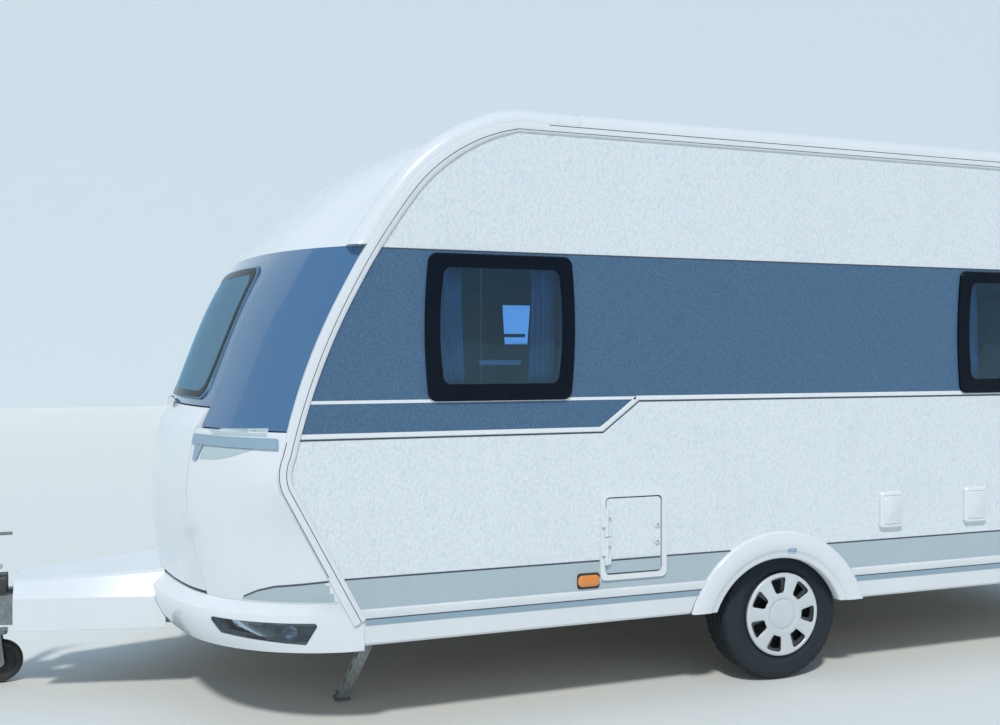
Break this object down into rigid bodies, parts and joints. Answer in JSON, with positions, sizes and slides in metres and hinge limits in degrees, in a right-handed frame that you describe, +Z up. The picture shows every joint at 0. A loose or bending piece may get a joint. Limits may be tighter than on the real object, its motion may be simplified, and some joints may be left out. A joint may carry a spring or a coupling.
{
  "type": "travel caravan",
  "caption": "Travel caravan on a single axle with a sloped front, gas locker lid, drawbar with coupling, jockey wheel, corner steadies, entrance door and side windows.",
  "frame": {"origin": "on the ground at the centre of the overall length and width", "axes": "+X to the rear of the caravan, +Y to the kerb side with the entrance door, +Z up from the ground"},
  "size_m": [6.67, 2.357, 2.634],
  "materials": {
    "white_panel": "stucco embossed white aluminium sheet over light sandwich board",
    "gloss_shell": "glossy white moulded shell",
    "white_trim": "smooth white coated aluminium section",
    "dark_glazing": "dark tinted acrylic",
    "clear_dome": "clear acrylic dome",
    "tyre": "black road tyre",
    "black_rubber": "black rubber",
    "wheel_cover": "silver painted wheel cover on a steel rim",
    "black_steel": "black coated steel",
    "zinc_steel": "dull zinc coated steel",
    "wood_board": "light wood board",
    "seat_fabric": "woven seat fabric",
    "curtain_fabric": "pleated pale curtain",
    "white_plastic": "white plastic",
    "lamp_lens": "clear lamp lens",
    "red_lens": "red lamp lens",
    "amber_lens": "amber marker lens"
  },
  "bodies": {
    "caravan": {"axle": "zinc_steel", "cassette_box": "wood_board", "chassis_frame": "zinc_steel", "corner_panels": "gloss_shell", "coupling_head": "black_steel", "curtain_rails": "white_plastic", "curtains": "curtain_fabric", "cushions": "seat_fabric", "drawbar_cover": "gloss_shell", "edge_trims": "white_trim", "floor": "wood_board", "front_bumper": "gloss_shell", "front_cheeks": "gloss_shell", "front_lamps": "lamp_lens", "front_window": "dark_glazing", "front_window_surround": "gloss_shell", "furniture": "wood_board", "handbrake_lever": "black_steel", "hatch_frames": "white_plastic", "inlet_covers": "white_plastic", "jockey_post": "zinc_steel", "locker_bulkhead": "wood_board", "overrun_housing": "black_steel", "rear_bumper": "gloss_shell", "rear_lamps": "red_lens", "rear_wall": "white_panel", "rear_window": "dark_glazing", "roof": "white_panel", "roof_nose": "gloss_shell", "rooflights": "clear_dome", "shaft_gaiter": "black_rubber", "side_markers": "amber_lens", "side_wall_left": "white_panel", "side_wall_right": "white_panel", "skirts": "white_trim", "steady_brackets": "zinc_steel", "waist_strips": "gloss_shell", "wheel_arches": "gloss_shell", "wheel_boxes": "white_plastic", "windows_left": "dark_glazing", "windows_right": "dark_glazing"},
    "wheel_left": {"tyre_left": "tyre", "rim_left": "wheel_cover"},
    "wheel_right": {"tyre_right": "tyre", "rim_right": "wheel_cover"},
    "entrance_door_leaf": {"entrance_door": "white_panel", "door_window": "dark_glazing"},
    "service_hatch_leaf": {"service_hatch": "white_panel"},
    "cassette_hatch_leaf": {"cassette_hatch": "white_panel"},
    "gas_locker_leaf": {"gas_locker_lid": "gloss_shell"},
    "jockey_caster": {"jockey_fork": "zinc_steel"},
    "jockey_roller": {"jockey_wheel": "black_rubber"},
    "steady_front_left_leg": {"steady_front_left": "zinc_steel"},
    "steady_front_right_leg": {"steady_front_right": "zinc_steel"},
    "steady_rear_left_leg": {"steady_rear_left": "zinc_steel"},
    "steady_rear_right_leg": {"steady_rear_right": "zinc_steel"}
  },
  "joints": [
    {"name": "wheel_left_spin", "type": "hinge", "parent": "caravan", "child": "wheel_left", "pos_m": [0.675, -0.997, 0.312], "axis": [0, 1, 0], "continuous": true},
    {"name": "wheel_right_spin", "type": "hinge", "parent": "caravan", "child": "wheel_right", "pos_m": [0.675, 0.997, 0.312], "axis": [0, 1, 0], "continuous": true},
    {"name": "entrance_door_hinge", "type": "hinge", "parent": "caravan", "child": "entrance_door_leaf", "pos_m": [-0.697, 1.1675, 1.37], "axis": [0, 0, 1], "range_deg": [0, 170]},
    {"name": "service_hatch_hinge", "type": "hinge", "parent": "caravan", "child": "service_hatch_leaf", "pos_m": [-0.282, -1.1695, 0.75], "axis": [0, 0, -1], "range_deg": [0, 115]},
    {"name": "cassette_hatch_hinge", "type": "hinge", "parent": "caravan", "child": "cassette_hatch_leaf", "pos_m": [1.585, 1.1695, 0.728], "axis": [0, 0, 1], "range_deg": [0, 115]},
    {"name": "gas_locker_hinge", "type": "hinge", "parent": "caravan", "child": "gas_locker_leaf", "pos_m": [-2.041, 0, 1.331], "axis": [0, 1, 0], "range_deg": [0, 80]},
    {"name": "jockey_swivel", "type": "hinge", "parent": "caravan", "child": "jockey_caster", "pos_m": [-2.86, 0.14, 0.2], "axis": [0, 0, 1], "continuous": true},
    {"name": "jockey_wheel_spin", "type": "hinge", "parent": "jockey_caster", "child": "jockey_roller", "pos_m": [-2.805, 0.14, 0.1], "axis": [0, 1, 0], "continuous": true},
    {"name": "steady_front_left_pivot", "type": "hinge", "parent": "caravan", "child": "steady_front_left_leg", "pos_m": [-1.19, -0.64, 0.306], "axis": [0, 1, 0], "range_deg": [0, 60]},
    {"name": "steady_front_right_pivot", "type": "hinge", "parent": "caravan", "child": "steady_front_right_leg", "pos_m": [-1.19, 0.64, 0.306], "axis": [0, 1, 0], "range_deg": [0, 60]},
    {"name": "steady_rear_left_pivot", "type": "hinge", "parent": "caravan", "child": "steady_rear_left_leg", "pos_m": [2.9, -0.64, 0.306], "axis": [0, -1, 0], "range_deg": [0, 60]},
    {"name": "steady_rear_right_pivot", "type": "hinge", "parent": "caravan", "child": "steady_rear_right_leg", "pos_m": [2.9, 0.64, 0.306], "axis": [0, -1, 0], "range_deg": [0, 60]}
  ]
}
